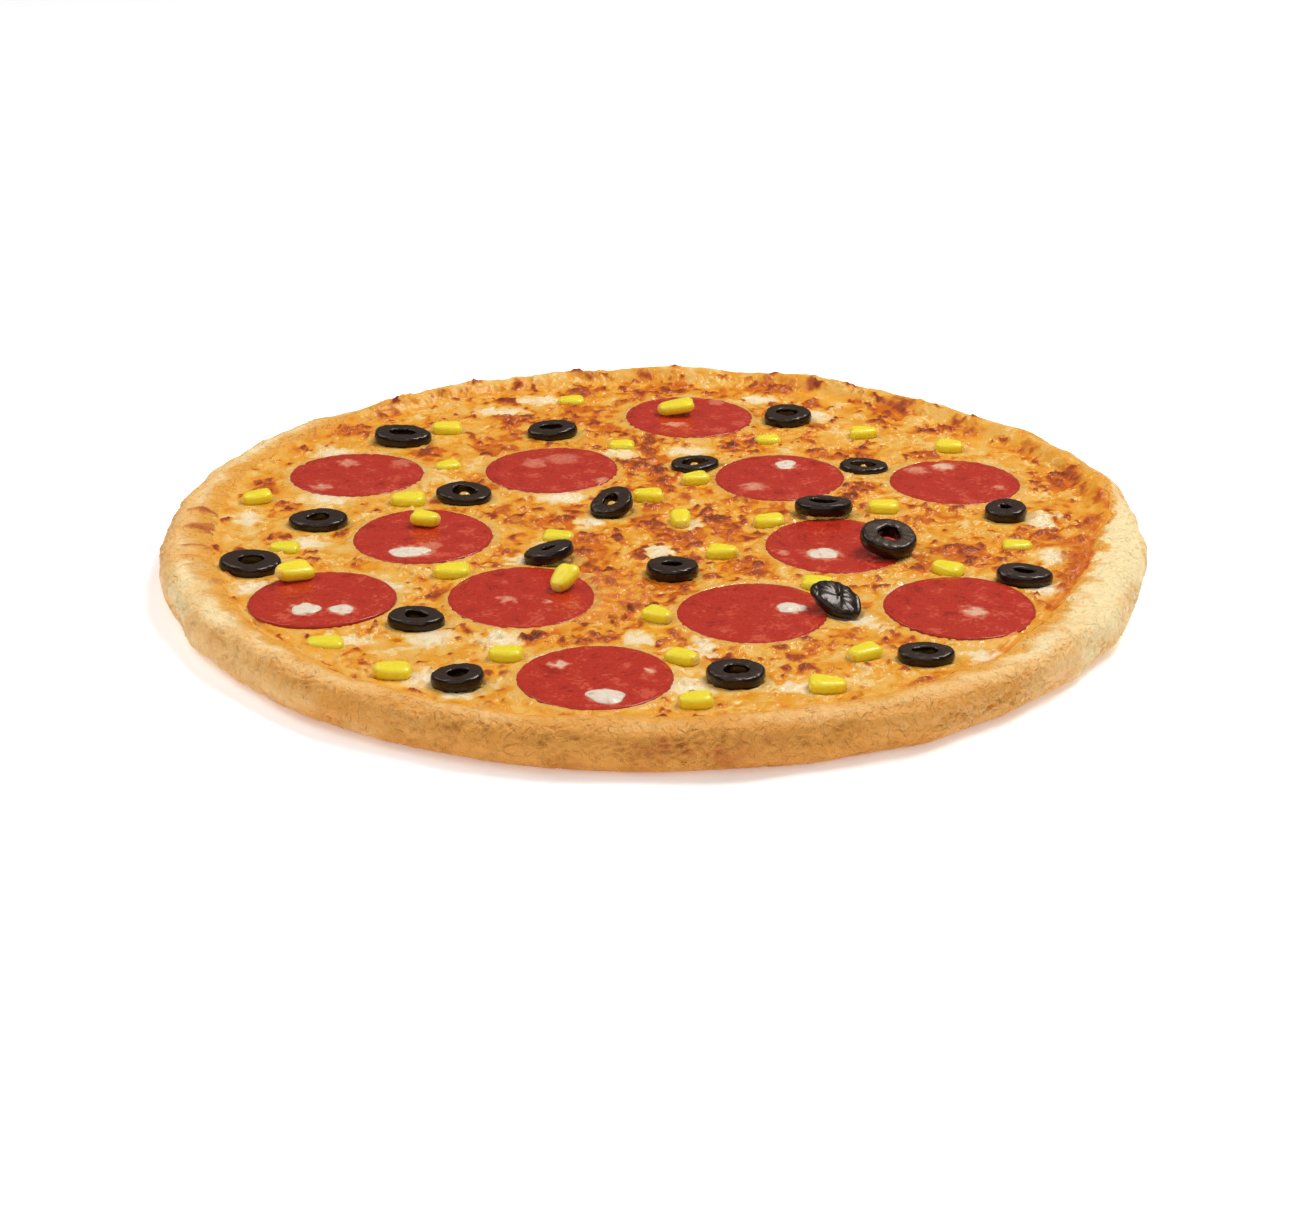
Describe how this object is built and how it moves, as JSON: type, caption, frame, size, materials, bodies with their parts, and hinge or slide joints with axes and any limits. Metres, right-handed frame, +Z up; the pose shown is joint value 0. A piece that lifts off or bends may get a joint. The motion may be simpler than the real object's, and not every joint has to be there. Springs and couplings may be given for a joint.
{
  "type": "whole salami pizza",
  "caption": "Whole uncut round pizza: risen golden crust, tomato sauce, browned melted cheese, salami slices, black olive rings and sweetcorn.",
  "frame": {"origin": "centre of the pizza's flat underside, where it rests", "axes": "+Z up out of the toppings, -Y towards the viewer of the picture, +X to the viewer's right"},
  "size_m": [0.2796, 0.2804, 0.0183],
  "materials": {
    "dough": "baked wheat dough, matte, golden",
    "tomato_sauce": "cooked tomato sauce, moist",
    "cheese": "melted browned cheese, oily",
    "salami": "cooked red sausage, satin",
    "olive": "black olive, glossy",
    "corn": "cooked sweetcorn, glossy"
  },
  "bodies": {
    "root": {"crust": "dough", "sauce": "tomato_sauce", "cheese": "cheese", "salami_01": "salami", "salami_02": "salami", "salami_03": "salami", "salami_04": "salami", "salami_05": "salami", "salami_06": "salami", "salami_07": "salami", "salami_08": "salami", "salami_09": "salami", "salami_10": "salami", "salami_11": "salami", "salami_12": "salami", "olive_01": "olive", "olive_02": "olive", "olive_03": "olive", "olive_04": "olive", "olive_05": "olive", "olive_06": "olive", "olive_07": "olive", "olive_08": "olive", "olive_09": "olive", "olive_10": "olive", "olive_11": "olive", "olive_12": "olive", "olive_13": "olive", "olive_14": "olive", "olive_15": "olive", "olive_16": "olive", "olive_17": "olive", "olive_18": "olive", "olive_19": "olive", "olive_20": "olive", "corn_01": "corn", "corn_02": "corn", "corn_03": "corn", "corn_04": "corn", "corn_05": "corn", "corn_06": "corn", "corn_07": "corn", "corn_08": "corn", "corn_09": "corn", "corn_10": "corn", "corn_11": "corn", "corn_12": "corn", "corn_13": "corn", "corn_14": "corn", "corn_15": "corn", "corn_16": "corn", "corn_17": "corn", "corn_18": "corn", "corn_19": "corn", "corn_20": "corn", "corn_21": "corn", "corn_22": "corn", "corn_23": "corn", "corn_24": "corn", "corn_25": "corn"}
  },
  "joints": []
}
